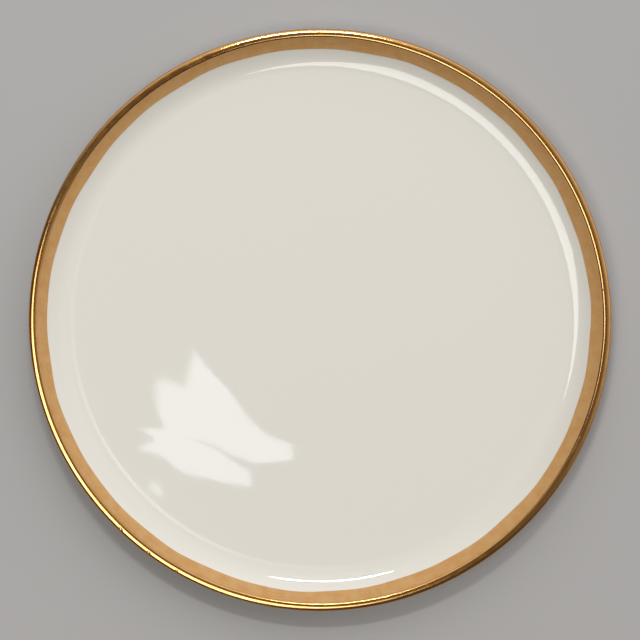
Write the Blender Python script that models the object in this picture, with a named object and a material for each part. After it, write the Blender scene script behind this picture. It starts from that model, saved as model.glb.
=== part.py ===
"""A gilt china dinner plate: a flat well inside a low curved wall with a rounded lip, on a turned foot ring.

A plate is made in coats. The clay body is turned and fired, then dipped in glaze, which fuses all over it
except on the edge that the foot ring stands on. Gold is fired on top of the glaze round the rim: a satin
band on the inside of the wall, and a polished gilding over the lip. Each coat is one object.

The outline is that of the turned body, and every coat follows it at its own distance, so the coats lie
parallel with a small gap between neighbours. Everything is turned about Z with the same number of sides.
The frame is in metres, +Z up out of the dish, with the origin in the middle of the plane that the foot
ring stands on.
"""

import math
from typing import NamedTuple

import bmesh
import bpy

MM = 0.001

# The finished plate
PLATE_RADIUS = 135.0 * MM
PLATE_HEIGHT = 16.9 * MM

# The coats on the turned body
COAT_GAP = 0.1 * MM
GLAZE_THICKNESS = 0.3 * MM
GOLD_THICKNESS = 0.1 * MM
GLAZE_LINE_HEIGHT = 1.2 * MM
BAND_INNER_RADIUS = 126.2 * MM
GILDING_BELOW_LIP = 1.6 * MM

# The turned body: the well and its wall, whose slopes are in degrees
WELL_SWEEP_RADIUS = 100.0 * MM
WELL_SWEEP_SLOPE = 2.4
WELL_FILLET_RADIUS = 22.4 * MM
WALL_SLOPE = 47.0

# The lip, an arc across its crest between two tighter shoulders
LIP_CREST_RADIUS = 4.05 * MM
LIP_CREST_SPAN = 14.0
LIP_SHOULDER_RADIUS = 0.75 * MM

# The underside and the foot ring
UNDERSIDE_SLOPE = 2.0
RECESS_DEPTH = 3.8 * MM
FOOT_RADIUS = 90.0 * MM
FOOT_BEARING_WIDTH = 2.4 * MM
FOOT_TAPER = 12.0
FOOT_EDGE_RADIUS = 0.6 * MM
FOOT_ROOT_RADIUS = 1.4 * MM

TURNED_SIDES = 56
WELD_DISTANCE = 0.001 * MM
SHARP_ANGLE = math.radians(40.0)

# Distances of the coats' surfaces from the turned body
GLAZE_INSIDE = COAT_GAP
GLAZE_OUTSIDE = GLAZE_INSIDE + GLAZE_THICKNESS
GOLD_INSIDE = GLAZE_OUTSIDE + COAT_GAP
GOLD_OUTSIDE = GOLD_INSIDE + GOLD_THICKNESS

# Directions in which a surface faces, in degrees: 0 is outwards, away from the plate's axis
UP = 90.0
DOWN = -90.0


class Station(NamedTuple):
    """A point on the turned outline, and the direction that the surface faces there."""

    radius: float
    height: float
    facing: float


def facing_vector(facing):
    """The unit vector (outwards, upwards) of a direction."""
    angle = math.radians(facing)
    return math.cos(angle), math.sin(angle)


def moved(station, distance):
    """The station moved off the surface, the way that it faces."""
    out, up = facing_vector(station.facing)
    return Station(
        station.radius + distance * out,
        station.height + distance * up,
        station.facing,
    )


def slid(station, distance):
    """The station moved along the surface, towards the end of the outline under the plate."""
    out, up = facing_vector(station.facing - 90.0)
    return Station(
        station.radius + distance * out,
        station.height + distance * up,
        station.facing,
    )


def bulge(hub, radius, start, end, steps):
    """Stations along a convex arc round a hub, from one facing direction to another."""
    facings = [start + (end - start) * step / steps for step in range(steps + 1)]
    return [moved(Station(hub[0], hub[1], facing), radius) for facing in facings]


def hollow(hub, radius, start, end, steps):
    """Stations along a concave arc, whose surface faces its hub."""
    return bulge(hub, -radius, start, end, steps)


def hollow_hub(first, second, radius):
    """Hub of the hollow that joins two straight stretches, each known by one of its stations."""
    first_out, first_up = facing_vector(first.facing)
    second_out, second_up = facing_vector(second.facing)
    first_reach = first_out * first.radius + first_up * first.height + radius
    second_reach = second_out * second.radius + second_up * second.height + radius
    turn = first_out * second_up - first_up * second_out
    return (
        (first_reach * second_up - second_reach * first_up) / turn,
        (second_reach * first_out - first_reach * second_out) / turn,
    )


def lip_stations():
    """The lip from the top of the wall, over the crest, to where it joins the back of the wall."""
    across, up = facing_vector(UP - LIP_CREST_SPAN)
    hub_distance = LIP_CREST_RADIUS - LIP_SHOULDER_RADIUS
    outer_radius = PLATE_RADIUS - GOLD_OUTSIDE - LIP_SHOULDER_RADIUS
    crest_radius = outer_radius - hub_distance * across
    crest_height = PLATE_HEIGHT - GOLD_OUTSIDE - LIP_CREST_RADIUS
    shoulder_height = crest_height + hub_distance * up
    inner_hub = (crest_radius - hub_distance * across, shoulder_height)
    outer_hub = (outer_radius, shoulder_height)
    inner_end = UP + LIP_CREST_SPAN
    outer_start = UP - LIP_CREST_SPAN
    inner = bulge(inner_hub, LIP_SHOULDER_RADIUS, UP + WALL_SLOPE, inner_end, 1)
    crest = bulge((crest_radius, crest_height), LIP_CREST_RADIUS, inner_end, outer_start, 2)
    outer = bulge(outer_hub, LIP_SHOULDER_RADIUS, outer_start, DOWN + WALL_SLOPE, 4)
    return inner + crest[1:] + outer[1:]


def wall_thickness():
    """Thickness of the wall, which grows into the lip with no step."""
    crest_width = 2.0 * (LIP_CREST_RADIUS - LIP_SHOULDER_RADIUS) * math.sin(
        math.radians(LIP_CREST_SPAN)
    )
    return 2.0 * LIP_SHOULDER_RADIUS + crest_width * math.sin(math.radians(WALL_SLOPE))


def foot_side(sign, ceiling):
    """One side of the foot ring below the station where the ceiling over it is known.

    The sign is 1 for the outer side and -1 for the inner one. It returns the stations that are glazed,
    from the root down to the glaze line, and the bare ones below.
    """
    facing = DOWN + sign * (90.0 - FOOT_TAPER)
    edge_hub = (FOOT_RADIUS + sign * FOOT_BEARING_WIDTH / 2.0, FOOT_EDGE_RADIUS)
    edge = bulge(edge_hub, FOOT_EDGE_RADIUS, facing, DOWN, 2)
    root_hub = hollow_hub(ceiling, edge[0], FOOT_ROOT_RADIUS)
    root = hollow(root_hub, FOOT_ROOT_RADIUS, ceiling.facing, facing, 2)
    rise = (GLAZE_LINE_HEIGHT - edge[0].height) / math.cos(math.radians(FOOT_TAPER))
    glaze_line = slid(edge[0], -sign * rise)
    return root + [glaze_line], edge


def outline():
    """The turned body's outline in named stretches, from the middle of the well to the middle below."""
    lip = lip_stations()
    wall_hub = moved(lip[0], WELL_FILLET_RADIUS)[:2]
    sweep_end = UP + WELL_SWEEP_SLOPE
    fillet_start = hollow(wall_hub, WELL_FILLET_RADIUS, sweep_end, sweep_end, 1)[0]
    sweep_hub = moved(fillet_start, WELL_SWEEP_RADIUS)[:2]
    glazed_fillet = WELL_FILLET_RADIUS - GLAZE_OUTSIDE
    band_slope = math.asin((BAND_INNER_RADIUS - wall_hub[0]) / glazed_fillet)
    band_start = UP + math.degrees(band_slope)
    sweep = hollow(sweep_hub, WELL_SWEEP_RADIUS, UP, sweep_end, 1)
    fillet = hollow(wall_hub, WELL_FILLET_RADIUS, sweep_end, band_start, 3)
    banded = hollow(wall_hub, WELL_FILLET_RADIUS, band_start, UP + WALL_SLOPE, 2)

    back_radius = WELL_FILLET_RADIUS + wall_thickness()
    back = bulge(wall_hub, back_radius, DOWN + WALL_SLOPE, DOWN + UNDERSIDE_SLOPE, 3)
    recess_middle = Station(0.0, RECESS_DEPTH, DOWN)
    outer_glazed, outer_bare = foot_side(1, back[-1])
    inner_glazed, inner_bare = foot_side(-1, recess_middle)
    return {
        "well": [Station(0.0, sweep[0].height, UP)] + sweep + fillet[1:],
        "band": banded,
        "lip": lip,
        "back": back + outer_glazed,
        "foot": outer_bare + inner_bare[::-1],
        "recess": inner_glazed[::-1] + [recess_middle],
    }


def joined(*stretches):
    """Stretches of the outline as one, with stations that two of them share kept once."""
    stations = []
    for station in (station for stretch in stretches for station in stretch):
        near = stations and math.dist(station[:2], stations[-1][:2]) < WELD_DISTANCE
        if not near:
            stations.append(station)
    return stations


def coat(stations, inside, outside):
    """The profile of a coat: along its outside from the first station to the last, and back inside."""
    return [moved(station, outside) for station in stations] + [
        moved(station, inside) for station in reversed(stations)
    ]


def finish(name, colour, roughness, metallic=0.0, coat_weight=0.0):
    """A Principled material for one of the plate's surfaces."""
    material = bpy.data.materials.new(name)
    material.use_nodes = True
    shader = material.node_tree.nodes["Principled BSDF"]
    shader.inputs["Base Color"].default_value = (*colour, 1.0)
    shader.inputs["Roughness"].default_value = roughness
    shader.inputs["Metallic"].default_value = metallic
    shader.inputs["Coat Weight"].default_value = coat_weight
    material.diffuse_color = (*colour, 1.0)
    return material


def turned(name, profile, material):
    """One object turned about Z from a profile, which is a ring clear of the axis or starts and ends on it."""
    form = bmesh.new()
    verts = [form.verts.new((point.radius, 0.0, point.height)) for point in profile]
    edges = [form.edges.new(pair) for pair in zip(verts, verts[1:])]
    if profile[0].radius > WELD_DISTANCE:
        edges.append(form.edges.new((verts[-1], verts[0])))
    bmesh.ops.spin(
        form,
        geom=verts + edges,
        cent=(0.0, 0.0, 0.0),
        axis=(0.0, 0.0, 1.0),
        angle=math.tau,
        steps=TURNED_SIDES,
        use_merge=True,
    )
    bmesh.ops.remove_doubles(form, verts=form.verts, dist=WELD_DISTANCE)
    bmesh.ops.recalc_face_normals(form, faces=form.faces)
    mesh = bpy.data.meshes.new(name)
    form.to_mesh(mesh)
    form.free()
    mesh.shade_smooth()
    mesh.set_sharp_from_angle(angle=SHARP_ANGLE)
    mesh.materials.append(material)
    piece = bpy.data.objects.new(name, mesh)
    bpy.context.scene.collection.objects.link(piece)
    return piece


def porcelain_body(plate):
    """The fired clay body, bare on the foot ring's bearing edge and glazed everywhere else."""
    biscuit = finish("bisque_porcelain", (0.80, 0.77, 0.70), 0.62)
    turned("porcelain_body", joined(*plate.values()), biscuit)


def glaze_coat(plate):
    """The glaze on the well, over the lip and down the back to the glaze line outside the foot ring."""
    ivory = finish("ivory_glaze", (0.76, 0.73, 0.64), 0.08, coat_weight=0.5)
    covered = joined(plate["well"], plate["band"], plate["lip"], plate["back"])
    turned("glaze_coat", coat(covered, GLAZE_INSIDE, GLAZE_OUTSIDE), ivory)


def recess_glaze(plate):
    """The glaze inside the foot ring, with its own glaze line."""
    ivory = finish("recess_ivory_glaze", (0.76, 0.73, 0.64), 0.10, coat_weight=0.5)
    covered = plate["recess"][::-1]
    turned("recess_glaze", coat(covered, GLAZE_INSIDE, GLAZE_OUTSIDE), ivory)


def gold_band(plate):
    """The satin gold on the inside of the wall, ending just below the polished gilding."""
    satin = finish("satin_gold", (0.52, 0.30, 0.11), 0.42, metallic=1.0)
    edge = slid(plate["band"][-1], -COAT_GAP)
    covered = plate["band"][:-1] + [edge]
    turned("gold_band", coat(covered, GOLD_INSIDE, GOLD_OUTSIDE), satin)


def gold_lip(plate):
    """The polished gold over the lip, which turns under its outer side and ends in a clean line."""
    polished = finish("polished_gold", (0.86, 0.58, 0.20), 0.14, metallic=1.0)
    covered = plate["lip"] + [slid(plate["lip"][-1], GILDING_BELOW_LIP)]
    turned("gold_lip", coat(covered, GOLD_INSIDE, GOLD_OUTSIDE), polished)


def main():
    """Clear the scene and turn the plate's coats, from the clay outwards."""
    for old in list(bpy.data.objects):
        bpy.data.objects.remove(old)
    plate = outline()
    for piece in (porcelain_body, glaze_coat, recess_glaze, gold_band, gold_lip):
        piece(plate)


main()
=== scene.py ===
"""A gilt china dinner plate in its finished coats, on a pale table under soft studio light, seen from above.

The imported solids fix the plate's size. Each coat is turned again here from the same outline with fine arcs,
and gets its finish: ivory glaze with a gloss like still water, satin gold burnished round the wall, bright
gold over the lip with the beads that it drew into as it was fired, and the bare clay of the foot ring's
bearing edge. Lengths are in metres and slopes in degrees. +Z is up out of the dish.
"""

import logging
import math
from dataclasses import dataclass
from enum import Enum
from typing import NamedTuple, Sequence

import bpy
import numpy as np
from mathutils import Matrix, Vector


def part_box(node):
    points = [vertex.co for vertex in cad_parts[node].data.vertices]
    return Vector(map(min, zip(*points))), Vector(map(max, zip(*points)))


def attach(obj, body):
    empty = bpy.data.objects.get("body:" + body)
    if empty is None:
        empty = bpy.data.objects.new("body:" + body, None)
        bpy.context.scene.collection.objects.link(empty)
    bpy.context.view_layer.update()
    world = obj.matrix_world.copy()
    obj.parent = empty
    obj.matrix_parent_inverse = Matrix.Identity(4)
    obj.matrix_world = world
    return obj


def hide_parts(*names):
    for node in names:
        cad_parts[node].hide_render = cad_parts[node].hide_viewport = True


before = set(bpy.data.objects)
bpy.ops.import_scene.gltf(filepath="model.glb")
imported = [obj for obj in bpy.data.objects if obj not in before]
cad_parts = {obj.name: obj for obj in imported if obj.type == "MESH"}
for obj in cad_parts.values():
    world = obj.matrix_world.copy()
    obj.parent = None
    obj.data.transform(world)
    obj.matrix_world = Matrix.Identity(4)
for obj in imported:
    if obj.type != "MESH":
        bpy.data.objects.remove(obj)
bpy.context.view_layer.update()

log = logging.getLogger("dinner_plate")

MM = 0.001
WELD = 0.0001 * MM
UP = 90.0
DOWN = -90.0
ROOT_BODY = "root"

# Corners of the lit sheets beside the camera, in turn, in millimetres from the plate's axis.
TORN_SHEET = (
    (-116, -27), (-104, -39), (-86, -63), (-67, -90), (-49, -108), (-30, -117), (-29, -131),
    (-53, -134), (-80, -126), (-99, -116), (-123, -108), (-99, -119), (-80, -131), (-59, -141),
    (-60, -155), (-76, -154), (-101, -148), (-129, -140), (-147, -127), (-169, -117), (-156, -108),
    (-169, -98), (-147, -97), (-153, -83), (-155, -60), (-149, -55), (-126, -63), (-122, -48),
)
SHEET_SCRAP = ((-158, -144), (-147, -148), (-141, -158), (-152, -154))

Colour = tuple[float, float, float]
Value = float | Sequence[float] | bpy.types.NodeSocket


class Station(NamedTuple):
    """A point on a turned outline, and the direction that the surface faces there (0 is outwards)."""

    radius: float
    height: float
    facing: float

    def moved(self, distance: float) -> "Station":
        """The station moved off the surface, the way that it faces."""
        out, up = facing_vector(self.facing)
        return self._replace(radius=self.radius + distance * out, height=self.height + distance * up)

    def slid(self, distance: float) -> "Station":
        """The station moved along the surface, towards the end of the outline under the plate."""
        out, up = facing_vector(self.facing - 90.0)
        return self._replace(radius=self.radius + distance * out, height=self.height + distance * up)


def facing_vector(facing: float) -> tuple[float, float]:
    """The unit vector (outwards, upwards) of a direction."""
    angle = math.radians(facing)
    return math.cos(angle), math.sin(angle)


def towards(azimuth: float, lean: float) -> Vector:
    """The unit vector that leans off the plate's axis, towards an azimuth from +X."""
    out, up = facing_vector(UP - lean)
    across, along = facing_vector(azimuth)
    return Vector((out * across, out * along, up))


def bulge(hub: tuple[float, float], radius: float, start: float, end: float, turn: float) -> list[Station]:
    """Stations along a convex arc.

    Args:
        hub: The arc's centre, as its radius from the plate's axis and its height.
        radius: The arc's own radius; a negative one makes the arc concave.
        start: The direction that the surface faces where the arc starts.
        end: The direction that it faces where the arc ends.
        turn: The most that the surface may turn from one station to the next.

    Returns:
        The stations, with both ends.
    """
    steps = max(1, math.ceil(abs(end - start) / turn))
    facings = [start + (end - start) * step / steps for step in range(steps + 1)]
    return [Station(hub[0], hub[1], facing).moved(radius) for facing in facings]


def hollow(hub: tuple[float, float], radius: float, start: float, end: float, turn: float) -> list[Station]:
    """Stations along a concave arc, whose surface faces its hub."""
    return bulge(hub, -radius, start, end, turn)


def hollow_hub(first: Station, second: Station, radius: float) -> tuple[float, float]:
    """Hub of the hollow that joins two straight stretches.

    Args:
        first: Any station of the first stretch.
        second: Any station of the second stretch.
        radius: The hollow's radius.

    Returns:
        The hub, as its radius from the axis and its height.
    """
    first_out, first_up = facing_vector(first.facing)
    second_out, second_up = facing_vector(second.facing)
    first_reach = first_out * first.radius + first_up * first.height + radius
    second_reach = second_out * second.radius + second_up * second.height + radius
    turn = first_out * second_up - first_up * second_out
    return (
        (first_reach * second_up - second_reach * first_up) / turn,
        (second_reach * first_out - first_reach * second_out) / turn,
    )


@dataclass(frozen=True)
class Outline:
    """The turned clay body's outline, in arcs fine enough to look smooth close up.

    The plate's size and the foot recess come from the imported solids. The rest are the turner's own
    radii and slopes.
    """

    plate_radius: float
    plate_height: float
    recess_depth: float
    glazed: float = 0.4 * MM
    gilded: float = 0.6 * MM
    sweep_radius: float = 100.0 * MM
    sweep_slope: float = 0.6
    fillet_radius: float = 22.4 * MM
    wall_slope: float = 47.0
    crest_radius: float = 5.6 * MM
    crest_span: float = 9.47
    shoulder_radius: float = 0.75 * MM
    underside_slope: float = 2.0
    foot_radius: float = 90.0 * MM
    bearing_width: float = 2.4 * MM
    foot_taper: float = 12.0
    foot_edge_radius: float = 0.6 * MM
    foot_root_radius: float = 1.4 * MM
    glaze_line_height: float = 1.2 * MM
    well_rings: int = 6
    wide_turn: float = 1.0
    tight_turn: float = 4.0
    foot_turn: float = 12.0

    @classmethod
    def from_frame(cls) -> "Outline":
        """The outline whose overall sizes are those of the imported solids."""
        lip_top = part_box("gold_lip")[1]
        recess_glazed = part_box("recess_glaze")[1].z
        return cls(plate_radius=lip_top.x, plate_height=lip_top.z, recess_depth=recess_glazed + 0.1 * MM)

    def lip(self) -> list[Station]:
        """The lip from the top of the wall, over the crest, to where it joins the back of the wall."""
        across, up = facing_vector(UP - self.crest_span)
        reach = self.crest_radius - self.shoulder_radius
        outer_radius = self.plate_radius - self.gilded - self.shoulder_radius
        crest = (outer_radius - reach * across, self.plate_height - self.gilded - self.crest_radius)
        shoulder_height = crest[1] + reach * up
        inner_end = UP + self.crest_span
        outer_start = UP - self.crest_span
        inner_hub = (crest[0] - reach * across, shoulder_height)
        inner = bulge(inner_hub, self.shoulder_radius, UP + self.wall_slope, inner_end, self.tight_turn)
        middle = bulge(crest, self.crest_radius, inner_end, outer_start, self.wide_turn)
        outer_hub = (outer_radius, shoulder_height)
        outer = bulge(outer_hub, self.shoulder_radius, outer_start, DOWN + self.wall_slope, self.tight_turn)
        return inner + middle[1:] + outer[1:]

    def wall_hub(self) -> tuple[float, float]:
        """Hub of the arcs that turn the well into the wall, and the underside into the wall's back."""
        return self.lip()[0].moved(self.fillet_radius)[:2]

    def slope_at(self, radius: float) -> float:
        """The glazed wall's slope at a radius from the plate's axis."""
        reach = self.fillet_radius - self.glazed
        return math.degrees(math.asin((radius - self.wall_hub()[0]) / reach))

    def well(self) -> list[Station]:
        """The flat well from its middle out to where the fillet takes over."""
        sweep_end = UP + self.sweep_slope
        fillet_start = hollow(self.wall_hub(), self.fillet_radius, sweep_end, sweep_end, 1.0)[0]
        sweep_hub = fillet_start.moved(self.sweep_radius)[:2]
        sweep = hollow(sweep_hub, self.sweep_radius, UP, sweep_end, self.sweep_slope / 4.0)
        rings = [sweep[0].radius * ring / self.well_rings for ring in range(self.well_rings)]
        return [Station(radius, sweep[0].height, UP) for radius in rings] + sweep

    def wall(self, start_slope: float, end_slope: float) -> list[Station]:
        """The inside of the wall between two of its slopes."""
        return hollow(self.wall_hub(), self.fillet_radius, UP + start_slope, UP + end_slope, self.wide_turn)

    def back(self) -> list[Station]:
        """The back of the wall, turning under to the underside."""
        half_crest = (self.crest_radius - self.shoulder_radius) * math.sin(math.radians(self.crest_span))
        half_thickness = self.shoulder_radius + half_crest * math.sin(math.radians(self.wall_slope))
        turned_under = DOWN + self.underside_slope
        reach = self.fillet_radius + 2.0 * half_thickness
        return bulge(self.wall_hub(), reach, DOWN + self.wall_slope, turned_under, self.wide_turn)

    def foot_side(self, sign: int, ceiling: Station) -> tuple[list[Station], list[Station]]:
        """One side of the foot ring.

        Args:
            sign: 1 for the outer side and -1 for the inner one.
            ceiling: A station of the straight stretch that the foot hangs from.

        Returns:
            The glazed stations from the root down to the glaze line, and the bare ones below.
        """
        facing = DOWN + sign * (90.0 - self.foot_taper)
        edge_hub = (self.foot_radius + sign * self.bearing_width / 2.0, self.foot_edge_radius)
        edge = bulge(edge_hub, self.foot_edge_radius, facing, DOWN, self.foot_turn)
        root_hub = hollow_hub(ceiling, edge[0], self.foot_root_radius)
        root = hollow(root_hub, self.foot_root_radius, ceiling.facing, facing, self.foot_turn)
        rise = (self.glaze_line_height - edge[0].height) / math.cos(math.radians(self.foot_taper))
        return root + [edge[0].slid(-sign * rise)], edge

    def recess(self) -> list[Station]:
        """The ceiling inside the foot ring and the ring's inner side, from the middle out."""
        middle = Station(0.0, self.recess_depth, DOWN)
        glazed, _ = self.foot_side(-1, middle)
        rings = [glazed[0].radius * ring / self.well_rings for ring in range(self.well_rings)]
        return [middle._replace(radius=radius) for radius in rings] + glazed

    def glazed_face(self) -> list[Station]:
        """All that the first glaze covers, from the middle of the well to the glaze line under the plate."""
        outer, _ = self.foot_side(1, self.back()[-1])
        wall = self.wall(self.sweep_slope, self.wall_slope)
        return joined(self.well(), wall, self.lip(), self.back(), outer)

    def clay(self) -> list[Station]:
        """The whole clay body, from the middle of the well to the middle below."""
        _, outer = self.foot_side(1, self.back()[-1])
        _, inner = self.foot_side(-1, Station(0.0, self.recess_depth, DOWN))
        return joined(self.glazed_face(), outer, inner[::-1], self.recess()[::-1])


def joined(*stretches: Sequence[Station]) -> list[Station]:
    """Stretches of an outline as one, with stations that two of them share kept once."""
    stations: list[Station] = []
    for station in (station for stretch in stretches for station in stretch):
        if not stations or math.dist(station[:2], stations[-1][:2]) > 10.0 * WELD:
            stations.append(station)
    return stations


def rounded_end(end: Station, way: int, inside: float, outside: float, run: float) -> list[Station]:
    """A coat's edge, run down in a quarter round from its outside to its inside.

    Args:
        end: The station on the body where the coat stops.
        way: 1 at the end of the outline, and -1 at its start.
        inside: The coat's inner distance from the body.
        outside: Its outer distance.
        run: How far along the surface the edge takes to run down.

    Returns:
        Stations off the body, from the outside to the inside.
    """
    steps = 5
    edge = []
    for step in range(steps + 1):
        angle = math.tau / 4.0 * step / steps
        along = end.slid(way * run * (math.sin(angle) - 1.0))
        edge.append(along.moved(inside + (outside - inside) * math.cos(angle)))
    return edge


def coat_profile(
    stations: Sequence[Station], inside: float, outside: float, run: float, pole: bool
) -> list[Station]:
    """The profile of a coat that follows the body.

    Args:
        stations: The body's stations that the coat covers.
        inside: The coat's inner distance from the body.
        outside: Its outer distance.
        run: How far its edges take to run down.
        pole: Whether the coat starts on the plate's axis, where it has no edge.

    Returns:
        The outside from start to end, and the inside back to the start.
    """
    first = stations[0]
    last = stations[-1]
    end = rounded_end(last, 1, inside, outside, run)
    start = [] if pole else rounded_end(first, -1, inside, outside, run)[::-1]
    clear_of_edge = 1.2 * run
    middle = [
        station
        for station in stations
        if math.dist(station[:2], last[:2]) > clear_of_edge
        and (pole or math.dist(station[:2], first[:2]) > clear_of_edge)
    ]
    inner = [station.moved(inside) for station in middle[::-1]]
    return start + [station.moved(outside) for station in middle] + end + inner


@dataclass(frozen=True)
class Wheel:
    """The wheel that a coat is turned on, and how many sides it gives the coat."""

    sides: int

    def turn(self, name: str, profile: Sequence[Station]) -> bpy.types.Object:
        """Turn one piece about the plate's axis.

        Args:
            name: The piece's name.
            profile: Its outline, which is a ring clear of the axis, or starts and ends on it.

        Returns:
            The closed, smooth piece.
        """
        bpy.ops.object.select_all(action="DESELECT")
        first = profile[0]
        bpy.ops.mesh.primitive_plane_add(size=MM, location=(first.radius, 0.0, first.height))
        piece = bpy.context.object
        piece.name = piece.data.name = name
        bpy.ops.object.transform_apply(location=True)
        bpy.ops.object.mode_set(mode="EDIT")
        bpy.ops.mesh.select_all(action="SELECT")
        bpy.ops.mesh.merge(type="CENTER")
        ring = list(profile) + ([first] if first.radius > 0.0 else [])
        for here, there in zip(ring, ring[1:]):
            step = (there.radius - here.radius, 0.0, there.height - here.height)
            bpy.ops.mesh.extrude_vertices_move(TRANSFORM_OT_translate={"value": step})
        bpy.ops.mesh.select_all(action="SELECT")
        bpy.ops.mesh.remove_doubles(threshold=WELD)
        bpy.ops.object.mode_set(mode="OBJECT")
        turning = piece.modifiers.new("turning", "SCREW")
        turning.steps = turning.render_steps = self.sides
        turning.use_merge_vertices = True
        turning.merge_threshold = WELD
        bpy.ops.object.modifier_apply(modifier=turning.name)
        bpy.ops.object.mode_set(mode="EDIT")
        bpy.ops.mesh.select_all(action="SELECT")
        bpy.ops.mesh.remove_doubles(threshold=WELD)
        bpy.ops.mesh.normals_make_consistent(inside=False)
        bpy.ops.object.mode_set(mode="OBJECT")
        bpy.ops.object.shade_smooth()
        return piece


class Bench:
    """A material's nodes, with short ways to add and join them."""

    def __init__(self, name: str) -> None:
        """Start a material with its one Principled shader."""
        self.material = bpy.data.materials.new(name)
        self.material.use_nodes = True
        self.nodes = self.material.node_tree.nodes
        self.links = self.material.node_tree.links
        self.shader = self.nodes["Principled BSDF"]
        self.place = self.nodes.new("ShaderNodeTexCoord").outputs["Object"]

    def node(self, kind: str, settings: dict[str, object], feeds: dict[int | str, Value]) -> bpy.types.Node:
        """Add a node.

        Args:
            kind: The node's type.
            settings: Its properties.
            feeds: A value or another node's output for each of its input sockets.

        Returns:
            The node.
        """
        node = self.nodes.new(kind)
        for name, setting in settings.items():
            setattr(node, name, setting)
        for socket, value in feeds.items():
            self.feed(node, socket, value)
        return node

    def feed(self, node: bpy.types.Node, socket: int | str, value: Value) -> None:
        """Set an input socket, or join another node's output to it."""
        if isinstance(value, bpy.types.NodeSocket):
            self.links.new(value, node.inputs[socket])
        else:
            node.inputs[socket].default_value = value

    def finish(self, **feeds: Value) -> bpy.types.Material:
        """Feed the shader, whose socket names are written with underscores, and return the material."""
        for name, value in feeds.items():
            self.feed(self.shader, name.replace("_", " "), value)
        return self.material

    def sum(self, operation: str, first: Value, second: Value) -> bpy.types.NodeSocket:
        """The result of a Math node."""
        return self.node("ShaderNodeMath", {"operation": operation}, {0: first, 1: second}).outputs[0]

    def aim(self, operation: str, first: Value, second: Value = (0.0, 0.0, 0.0)) -> bpy.types.NodeSocket:
        """The vector result of a Vector Math node."""
        node = self.node("ShaderNodeVectorMath", {"operation": operation}, {0: first, 1: second})
        return node.outputs["Vector"]

    def spread(
        self, value: Value, low: float, high: float, start: float = 0.0, end: float = 1.0
    ) -> bpy.types.NodeSocket:
        """A value eased from start to end as another goes from low to high."""
        feeds = {"Value": value, "From Min": low, "From Max": high, "To Min": start, "To Max": end}
        node = self.node("ShaderNodeMapRange", {"interpolation_type": "SMOOTHSTEP"}, feeds)
        return node.outputs["Result"]

    def cloud(self, scale: float, detail: float = 2.0, vector: Value | None = None) -> bpy.types.NodeSocket:
        """Soft noise, with its scale in features per metre on Object coordinates."""
        feeds = {"Vector": self.place if vector is None else vector, "Scale": scale, "Detail": detail}
        return self.node("ShaderNodeTexNoise", {}, feeds).outputs["Fac"]

    def blend(self, factor: Value, first: Value, second: Value) -> bpy.types.NodeSocket:
        """One colour mixed into another."""
        node = self.node("ShaderNodeMix", {"data_type": "RGBA"}, {0: factor, 6: first, 7: second})
        return node.outputs[2]

    def relief(self, height: Value, distance: float) -> bpy.types.NodeSocket:
        """A bump whose height is in metres once multiplied by its distance."""
        feeds = {"Height": height, "Distance": distance, "Strength": 1.0}
        return self.node("ShaderNodeBump", {}, feeds).outputs["Normal"]

    def polar(self) -> tuple[bpy.types.NodeSocket, bpy.types.NodeSocket]:
        """The distance from the plate's axis, and the unit vector out from it."""
        flat = self.aim("MULTIPLY", self.place, (1.0, 1.0, 0.0))
        length = self.node("ShaderNodeVectorMath", {"operation": "LENGTH"}, {0: flat}).outputs["Value"]
        return length, self.aim("NORMALIZE", flat)

    def round_the_rim(self, coarse: float, fine: float) -> bpy.types.NodeSocket:
        """Coordinates that run slowly round the plate and fast across the rim, for marks of turning."""
        distance, out = self.polar()
        around = self.aim("SCALE", out)
        self.feed(around.node, "Scale", coarse)
        across = self.node("ShaderNodeCombineXYZ", {}, {"Z": self.sum("MULTIPLY", distance, fine)})
        return self.aim("ADD", around, across.outputs["Vector"])


def rgba(colour: Colour) -> tuple[float, float, float, float]:
    """A colour with full alpha."""
    return (*colour, 1.0)


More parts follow.
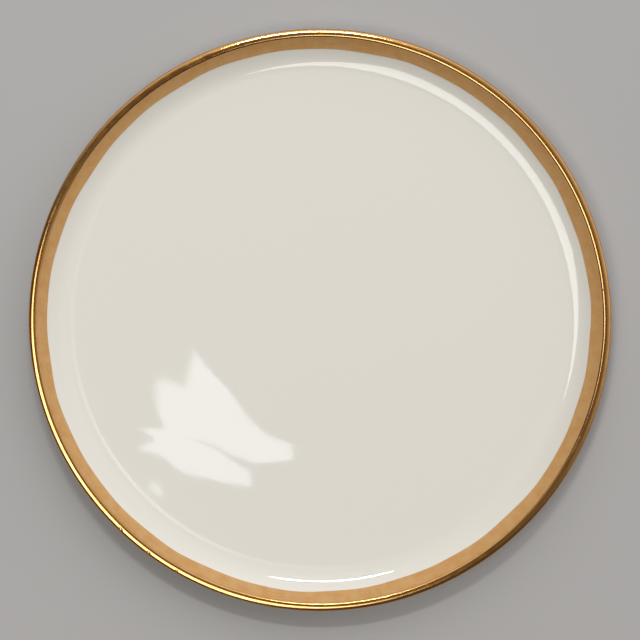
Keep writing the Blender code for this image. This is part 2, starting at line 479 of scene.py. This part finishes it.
@dataclass(frozen=True)
class IvoryGlaze:
    """Clear gloss over ivory porcelain: pooled and darkened with painted shade in the fillet, dulled at its
    foot, with the odd pinhole.
    """

    body: Colour = (0.835, 0.81, 0.733)
    warm: Colour = (0.838, 0.81, 0.736)
    # Deeper pooled-glaze tone together with painted shade, laid on the fillet's ring at the foot of the wall.
    pooled_and_shaded: Colour = (0.745, 0.715, 0.628)
    speck: Colour = (0.46, 0.40, 0.32)
    pool_shade_start: float = 117.0 * MM
    pool_shade_end: float = 124.0 * MM
    pooling_and_shade: float = 0.55
    pinhole_free: float = 0.86
    smoothest: float = 0.018
    roughest: float = 0.04
    knife_mark: float = 0.04
    dull_start: float = 114.2 * MM
    dull_end: float = 117.2 * MM
    dull_ramp: float = 0.8 * MM
    dulling: float = 0.13
    swell: float = 0.18 * MM
    orange_peel: float = 0.012

    def material(self, name: str) -> bpy.types.Material:
        """Mix the glaze."""
        bench = Bench(name)
        distance, _ = bench.polar()
        return bench.finish(
            Base_Color=self.colour(bench, distance),
            Roughness=self.roughness(bench, distance),
            Normal=self.surface(bench),
            IOR=1.5,
            Coat_Weight=0.1,
            Coat_Roughness=0.015,
        )

    def colour(self, bench: Bench, distance: Value) -> bpy.types.NodeSocket:
        """Faintly clouded ivory, deeper where it pools in the fillet and darkened there with painted shade,
        with a few pinholes.

        Args:
            bench: The glaze's nodes.
            distance: The distance from the plate's axis.

        Returns:
            The colour.
        """
        clouded = bench.blend(bench.spread(bench.cloud(14.0), 0.42, 0.62), rgba(self.body), rgba(self.warm))
        # Painted shade: the fillet's ring is darkened all round, partly as deeper pooled glaze and partly as
        # shade painted into the hollow.
        pool_and_shade = bench.spread(distance, self.pool_shade_start, self.pool_shade_end, 0.0, self.pooling_and_shade)
        tinted_and_shaded = bench.blend(pool_and_shade, clouded, rgba(self.pooled_and_shaded))
        cells = bench.node("ShaderNodeTexVoronoi", {}, {"Vector": bench.place, "Scale": 110.0})
        rare = bench.sum("GREATER_THAN", cells.outputs["Color"], self.pinhole_free)
        dot = bench.spread(cells.outputs["Distance"], 0.018, 0.032, 1.0, 0.0)
        speck = bench.sum("MULTIPLY", bench.sum("MULTIPLY", rare, dot), 0.5)
        return bench.blend(speck, tinted_and_shaded, rgba(self.speck))

    def roughness(self, bench: Bench, distance: Value) -> bpy.types.NodeSocket:
        """Gloss, with faint knife marks, dulled in a narrow ring at the foot of the wall.

        Args:
            bench: The glaze's nodes.
            distance: The distance from the plate's axis.

        Returns:
            The roughness.
        """
        gloss = bench.spread(bench.cloud(30.0, 4.0), 0.3, 0.7, self.smoothest, self.roughest)
        streaks = bench.aim("MULTIPLY", bench.place, (60.0, 1400.0, 60.0))
        knife = bench.spread(bench.cloud(1.0, 3.0, streaks), 0.66, 0.74, 0.0, self.knife_mark)
        onto_ring = bench.spread(distance, self.dull_start, self.dull_start + self.dull_ramp)
        off_ring = bench.spread(distance, self.dull_end - self.dull_ramp, self.dull_end, self.dulling, 0.0)
        return bench.sum("ADD", bench.sum("ADD", gloss, knife), bench.sum("MULTIPLY", onto_ring, off_ring))

    def surface(self, bench: Bench) -> bpy.types.NodeSocket:
        """The slow swell of a poured glaze, with a trace of orange peel on it."""
        peel = bench.sum("MULTIPLY", bench.cloud(260.0, 2.0), self.orange_peel)
        return bench.relief(bench.sum("ADD", bench.cloud(16.0, 1.0), peel), self.swell)


@dataclass(frozen=True)
class BareClay:
    """Fired clay with no glaze, ground flat and greyed by the tables that it has stood on."""

    clay: Colour = (0.72, 0.68, 0.60)
    grey: Colour = (0.47, 0.44, 0.40)

    def material(self, name: str) -> bpy.types.Material:
        """Mix the bare clay."""
        bench = Bench(name)
        rubbed = bench.spread(bench.cloud(55.0, 6.0), 0.48, 0.70, 0.0, 0.75)
        grain = bench.cloud(2600.0, 4.0)
        colour = bench.blend(rubbed, rgba(self.clay), rgba(self.grey))
        roughness = bench.spread(grain, 0.3, 0.7, 0.60, 0.80)
        return bench.finish(Base_Color=colour, Roughness=roughness, Normal=bench.relief(grain, 0.06 * MM))


class Burnish(Enum):
    """How far the fired gold is rubbed up."""

    SATIN = "satin"
    BRIGHT = "bright"


@dataclass(frozen=True)
class FiredGold:
    """Gold fired on the glaze, streaked the way that it was brushed and burnished, round the rim."""

    burnish: Burnish
    gold: Colour
    deep: Colour
    smoothest: float
    roughest: float
    streaking: float = 0.35
    satin_metal: float = 0.12
    satin_grain: float = 0.012 * MM
    bright_ripple: float = 0.002 * MM
    lustre: float = 0.8
    lustre_roughness: float = 0.1

    def material(self, name: str) -> bpy.types.Material:
        """Mix the gold."""
        bench = Bench(name)
        brushed = bench.cloud(1.0, 3.0, bench.round_the_rim(9.0, 2600.0))
        patched = bench.cloud(210.0, 4.0)
        streaked = bench.sum("MULTIPLY", brushed, self.streaking)
        depth = bench.sum("ADD", streaked, bench.sum("MULTIPLY", patched, 1.0 - self.streaking))
        colour = bench.blend(bench.spread(depth, 0.40, 0.60), rgba(self.deep), rgba(self.gold))
        roughness = bench.spread(depth, 0.38, 0.64, self.roughest, self.smoothest)
        if self.burnish is Burnish.SATIN:
            grain = bench.sum("ADD", bench.sum("MULTIPLY", brushed, 0.5), bench.cloud(1500.0, 3.0))
            normal = bench.relief(grain, self.satin_grain)
            return bench.finish(
                Base_Color=colour, Roughness=roughness, Normal=normal, Metallic=self.satin_metal
            )
        return bench.finish(
            Base_Color=colour,
            Roughness=roughness,
            Normal=bench.relief(bench.cloud(220.0, 2.0), self.bright_ripple),
            Metallic=1.0,
            Coat_Weight=self.lustre,
            Coat_Roughness=self.lustre_roughness,
        )


@dataclass
class Pottery:
    """The clay body with its two glazes."""

    outline: Outline
    clay_sides: int = 256
    glaze_sides: int = 280
    glaze_inside: float = 0.1 * MM
    edge_run: float = 0.35 * MM

    def clay_body(self) -> bpy.types.Object:
        """The fired body, which shows only on the foot ring's bearing edge."""
        body = Wheel(self.clay_sides).turn("fired_clay_body", self.outline.clay())
        body.data.materials.append(BareClay().material("bare_clay"))
        return declared(body, "porcelain_body")

    def main_glaze(self) -> bpy.types.Object:
        """The glaze over the well, the wall, the lip and the back."""
        profile = coat_profile(
            self.outline.glazed_face(), self.glaze_inside, self.outline.glazed, self.edge_run, pole=True
        )
        glaze = Wheel(self.glaze_sides).turn("ivory_glaze_coat", profile)
        glaze.data.materials.append(IvoryGlaze().material("ivory_glaze"))
        return declared(glaze, "glaze_coat")

    def foot_glaze(self) -> bpy.types.Object:
        """The glaze inside the foot ring."""
        profile = coat_profile(
            self.outline.recess(), self.glaze_inside, self.outline.glazed, self.edge_run, pole=True
        )
        glaze = Wheel(self.glaze_sides).turn("foot_recess_glaze", profile)
        glaze.data.materials.append(IvoryGlaze().material("foot_glaze"))
        return declared(glaze, "recess_glaze")


@dataclass(frozen=True)
class Bead:
    """A bead that the liquid gold drew into as it was fired."""

    azimuth: float
    facing: float
    length: float
    width: float
    height: float


@dataclass(frozen=True)
class Brushwork:
    """How the brush that laid the satin band wandered on its inner edge."""

    aside: float = 0.46 * MM
    waver: float = 0.11 * MM
    waves: tuple[int, ...] = (2, 3, 5, 7, 11, 17, 26)
    seed: int = 11

    def edge_shift(self, azimuth: np.ndarray) -> np.ndarray:
        """How far the edge lies outside its true circle, at each azimuth in radians."""
        random = np.random.default_rng(self.seed)
        shift = -self.aside * np.cos(azimuth)
        for wave in self.waves:
            shift = shift + self.waver * np.sin(wave * azimuth + random.uniform(0.0, math.tau))
        return shift

    def wander(self, band: bpy.types.Object, hub: tuple[float, float], start: float, end: float) -> None:
        """Slide a turned band's inner edge along the wall, as no turning or transform can.

        Args:
            band: The turned band.
            hub: Hub of the wall's arc.
            start: The wall's slope at the band's inner edge.
            end: The slope past which nothing moves.
        """
        places = np.empty(3 * len(band.data.vertices), np.float32)
        band.data.vertices.foreach_get("co", places)
        x, y, z = places.reshape(-1, 3).astype(float).T
        azimuth = np.arctan2(y, x)
        out = np.hypot(x, y) - hub[0]
        reach = np.hypot(out, hub[1] - z)
        slope = np.arctan2(out, hub[1] - z)
        near = np.clip((math.radians(end) - slope) / math.radians(end - start), 0.0, 1.0)
        slope += near * self.edge_shift(azimuth) / (reach * math.cos(math.radians(start)))
        radius = hub[0] + reach * np.sin(slope)
        height = hub[1] - reach * np.cos(slope)
        moved = np.stack((radius * np.cos(azimuth), radius * np.sin(azimuth), height), 1)
        band.data.vertices.foreach_set("co", moved.ravel())
        band.data.update()


@dataclass
class Gilding:
    """The gold that is fired on the rim: a satin band inside the wall and a bright one over the lip."""

    outline: Outline
    sides: int = 720
    gold_inside: float = 0.5 * MM
    edge_run: float = 0.15 * MM
    band_inner_radius: float = 126.2 * MM
    below_lip: float = 1.6 * MM
    still_below_lip: float = 4.0
    beads: tuple[Bead, ...] = (
        Bead(226.4, 80.0, 2.7 * MM, 1.7 * MM, 0.55 * MM),
        Bead(233.6, 80.0, 2.5 * MM, 1.6 * MM, 0.50 * MM),
        Bead(240.2, 81.0, 1.7 * MM, 1.4 * MM, 0.40 * MM),
        Bead(335.5, 99.0, 1.0 * MM, 0.9 * MM, 0.24 * MM),
        Bead(340.9, 99.0, 0.7 * MM, 0.6 * MM, 0.16 * MM),
        Bead(349.5, 99.0, 0.7 * MM, 0.6 * MM, 0.16 * MM),
        Bead(6.1, 99.0, 1.1 * MM, 0.9 * MM, 0.24 * MM),
    )

    def satin_band(self) -> bpy.types.Object:
        """The band on the inside of the wall, up to the bright gold."""
        start_slope = self.outline.slope_at(self.band_inner_radius)
        covered = self.outline.wall(start_slope, self.outline.wall_slope)
        covered[-1] = covered[-1].slid(-self.glaze_gap())
        profile = coat_profile(covered, self.gold_inside, self.outline.gilded, self.edge_run, pole=False)
        band = Wheel(self.sides).turn("satin_gold_band", profile)
        still_slope = self.outline.wall_slope - self.still_below_lip
        Brushwork().wander(band, self.outline.wall_hub(), start_slope, still_slope)
        satin = FiredGold(Burnish.SATIN, (0.61, 0.352, 0.135), (0.585, 0.31, 0.10), 0.55, 0.70)
        band.data.materials.append(satin.material("satin_gold"))
        return declared(band, "gold_band")

    def bright_lip(self) -> bpy.types.Object:
        """The gold over the lip, which turns under its outer side."""
        lip = self.outline.lip()
        covered = lip + [lip[-1].slid(self.below_lip)]
        profile = coat_profile(covered, self.gold_inside, self.outline.gilded, self.edge_run, pole=False)
        gilt = Wheel(self.sides).turn("bright_gold_lip", profile)
        drops = [self.bead(bead) for bead in self.beads]
        bpy.ops.object.select_all(action="DESELECT")
        for drop in drops:
            drop.select_set(True)
        gilt.select_set(True)
        bpy.context.view_layer.objects.active = gilt
        bpy.ops.object.join()
        bright = FiredGold(Burnish.BRIGHT, (0.61, 0.32, 0.09), (0.54, 0.265, 0.062), 0.09, 0.15)
        gilt.data.materials.append(bright.material("bright_gold"))
        return declared(gilt, "gold_lip")

    def bead(self, bead: Bead) -> bpy.types.Object:
        """Model one bead as a low dome that sits in the bright gold.

        Args:
            bead: Its place and size.

        Returns:
            The closed dome.
        """
        rests = min(self.outline.lip(), key=lambda station: abs(station.facing - bead.facing))
        seat = rests.moved(0.5 * (self.gold_inside + self.outline.gilded))
        bpy.ops.object.select_all(action="DESELECT")
        bpy.ops.mesh.primitive_uv_sphere_add(segments=32, ring_count=16, radius=0.5)
        dome = bpy.context.object
        bpy.ops.object.mode_set(mode="EDIT")
        bpy.ops.mesh.select_all(action="SELECT")
        bpy.ops.mesh.bisect(plane_co=(0, 0, 0), plane_no=(0, 0, 1), clear_inner=True, use_fill=True)
        bpy.ops.object.mode_set(mode="OBJECT")
        bpy.ops.object.shade_smooth()
        rise = 2.0 * (bead.height + 0.5 * self.glaze_gap())
        dome.scale = (bead.width, bead.length, rise)
        azimuth = math.radians(bead.azimuth)
        dome.rotation_euler = (0.0, math.radians(UP - seat.facing), azimuth)
        dome.location = (seat.radius * math.cos(azimuth), seat.radius * math.sin(azimuth), seat.height)
        bpy.ops.object.transform_apply(location=True, rotation=True, scale=True)
        return dome

    def glaze_gap(self) -> float:
        """The hair's breadth between the band and the bright gold."""
        return self.outline.gilded - self.gold_inside


def declared(piece: bpy.types.Object, node: str) -> bpy.types.Object:
    """Attach a piece to the plate's root body and hide the imported solid that it stands in for."""
    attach(piece, ROOT_BODY)
    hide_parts(node)
    return piece


@dataclass(frozen=True)
class Glow:
    """A soft patch of the surround: its direction, how far it spreads, and its colour at the middle."""

    azimuth: float
    lean: float
    spread: float
    colour: Colour


@dataclass(frozen=True)
class Lamp:
    """A soft rectangular lamp that faces the plate: where it hangs, its size, its watts and its colour."""

    name: str
    azimuth: float
    lean: float
    distance: float
    size: tuple[float, float]
    power: float
    colour: Colour

    def hang(self) -> bpy.types.Object:
        """Hang the lamp over the table."""
        data = bpy.data.lights.new(self.name, "AREA")
        data.shape = "RECTANGLE"
        data.size, data.size_y = self.size
        data.energy = self.power
        data.color = self.colour
        lamp = bpy.data.objects.new(self.name, data)
        lamp.location = towards(self.azimuth, self.lean) * self.distance
        lamp.rotation_euler = lamp.location.to_track_quat("Z", "Y").to_euler()
        bpy.context.scene.collection.objects.link(lamp)
        return lamp


@dataclass
class Studio:
    """The pale table, the lights and the camera straight above the plate."""

    plate_radius: float
    plate_height: float
    edge_drop: float = 1.4 * MM
    table_size: float = 12.0
    table_drop: float = 0.02 * MM
    paper: Colour = (0.448, 0.437, 0.428)
    pale_paper: Colour = (0.460, 0.449, 0.440)
    camera_height: float = 1.4155
    frame_margin: float = 1.0985
    sensor: float = 36.0
    sheet_height: float = 1.39
    sheet_glow: float = 4.2
    sheet_colour: Colour = (0.93, 1.0, 1.06)
    lamps: tuple[Lamp, ...] = (
        Lamp("key_strip", 93.0, 24.0, 1.25, (0.23, 0.045), 3.0, (0.94, 1.0, 1.05)),
        Lamp("wide_softbox", 224.0, 16.0, 3.12, (1.5, 1.02), 23.5, (0.97, 1.0, 1.0)),
    )
    ambient: Colour = (0.115, 0.088, 0.070)
    glows: tuple[Glow, ...] = (
        Glow(32.0, 59.0, 62.0, (0.90, 0.90, 0.92)),
        Glow(105.0, 56.0, 46.0, (1.06, 1.06, 1.07)),
    )

    def table(self) -> bpy.types.Object:
        """The table top."""
        bpy.ops.object.select_all(action="DESELECT")
        bpy.ops.mesh.primitive_plane_add(size=self.table_size, location=(0.0, 0.0, -self.table_drop))
        table = bpy.context.object
        table.name = table.data.name = "table_top"
        bench = Bench("table_paper")
        colour = bench.blend(bench.cloud(5.0, 3.0), rgba(self.paper), rgba(self.pale_paper))
        table.data.materials.append(bench.finish(Base_Color=colour, Roughness=0.7))
        return table

    def camera(self) -> bpy.types.Object:
        """The camera, on the plate's axis and looking straight down."""
        data = bpy.data.cameras.new("camera_above")
        data.sensor_width = self.sensor
        edge_distance = self.camera_height - self.plate_height + self.edge_drop
        half_view = self.plate_radius * self.frame_margin
        data.lens = self.sensor / 2.0 * edge_distance / half_view
        camera = bpy.data.objects.new("camera_above", data)
        camera.location = (0.0, 0.0, self.camera_height)
        bpy.context.scene.collection.objects.link(camera)
        bpy.context.scene.camera = camera
        return camera

    def sheet(
        self, name: str, corners: Sequence[tuple[float, float]], mirror: bpy.types.Object
    ) -> bpy.types.Object:
        """A lit sheet of torn paper beside the camera.

        Args:
            name: The sheet's name.
            corners: Its corners in turn, in millimetres from the plate's axis.
            mirror: The one piece that mirrors it.

        Returns:
            The sheet.
        """
        bpy.ops.object.select_all(action="DESELECT")
        first = corners[0]
        bpy.ops.mesh.primitive_plane_add(size=MM, location=(first[0] * MM, first[1] * MM, self.sheet_height))
        sheet = bpy.context.object
        sheet.name = sheet.data.name = name
        bpy.ops.object.transform_apply(location=True)
        bpy.ops.object.mode_set(mode="EDIT")
        bpy.ops.mesh.select_all(action="SELECT")
        bpy.ops.mesh.merge(type="CENTER")
        for here, there in zip(corners, [*corners[1:], first]):
            step = ((there[0] - here[0]) * MM, (there[1] - here[1]) * MM, 0.0)
            bpy.ops.mesh.extrude_vertices_move(TRANSFORM_OT_translate={"value": step})
        bpy.ops.mesh.select_all(action="SELECT")
        bpy.ops.mesh.remove_doubles(threshold=0.01 * MM)
        bpy.ops.mesh.edge_face_add()
        bpy.ops.object.mode_set(mode="OBJECT")
        bench = Bench(f"{name}_glow")
        lit = {"Emission_Color": rgba(self.sheet_colour), "Emission_Strength": self.sheet_glow}
        sheet.data.materials.append(bench.finish(Base_Color=rgba((0.0, 0.0, 0.0)), Roughness=1.0, **lit))
        sheet.visible_camera = sheet.visible_diffuse = sheet.visible_shadow = False
        mirrors = bpy.data.collections.new(f"{name}_mirrors")
        mirrors.objects.link(mirror)
        sheet.light_linking.receiver_collection = mirrors
        return sheet

    def sky(self) -> None:
        """A dim surround with wide, soft glows on the side that the windows are."""
        world = bpy.data.worlds.new("studio_surround")
        world.use_nodes = True
        nodes = world.node_tree.nodes
        links = world.node_tree.links
        gaze = nodes.new("ShaderNodeTexCoord").outputs["Generated"]
        shade = nodes.new("ShaderNodeRGB").outputs["Color"]
        shade.default_value = rgba(self.ambient)
        for glow in self.glows:
            nearness = nodes.new("ShaderNodeVectorMath")
            nearness.operation = "DOT_PRODUCT"
            nearness.inputs[1].default_value = towards(glow.azimuth, glow.lean)
            links.new(gaze, nearness.inputs[0])
            ease = nodes.new("ShaderNodeMapRange")
            ease.interpolation_type = "SMOOTHSTEP"
            ease.inputs["From Min"].default_value = math.cos(math.radians(glow.spread))
            links.new(nearness.outputs["Value"], ease.inputs["Value"])
            added = nodes.new("ShaderNodeMix")
            added.data_type = "RGBA"
            added.blend_type = "ADD"
            links.new(ease.outputs["Result"], added.inputs[0])
            links.new(shade, added.inputs[6])
            added.inputs[7].default_value = rgba(glow.colour)
            shade = added.outputs[2]
        links.new(shade, nodes["Background"].inputs["Color"])
        bpy.context.scene.world = world

    def light(self, mirror: bpy.types.Object) -> None:
        """Set the lamps, the torn sheets and the surround.

        Args:
            mirror: The one piece that mirrors the sheets.
        """
        for lamp in self.lamps:
            lamp.hang()
        for name, corners in (("torn_sheet", TORN_SHEET), ("sheet_scrap", SHEET_SCRAP)):
            self.sheet(name, corners, mirror)
        self.sky()


def main() -> None:
    """Turn and dress each coat, then set the table, the camera and the lights."""
    logging.basicConfig(level=logging.INFO, format="%(message)s")
    outline = Outline.from_frame()
    pottery = Pottery(outline)
    gilding = Gilding(outline)
    pieces = []
    for build in (
        pottery.main_glaze, pottery.clay_body, pottery.foot_glaze, gilding.satin_band, gilding.bright_lip,
    ):
        pieces.append(build())
        log.info("%s: %d faces", pieces[-1].name, len(pieces[-1].data.polygons))
    studio = Studio(outline.plate_radius, outline.plate_height)
    studio.table()
    studio.camera()
    studio.light(pieces[0])
    bpy.context.scene.view_settings.view_transform = "Standard"
    log.info("studio: ready")


if __name__ == "__main__":
    main()
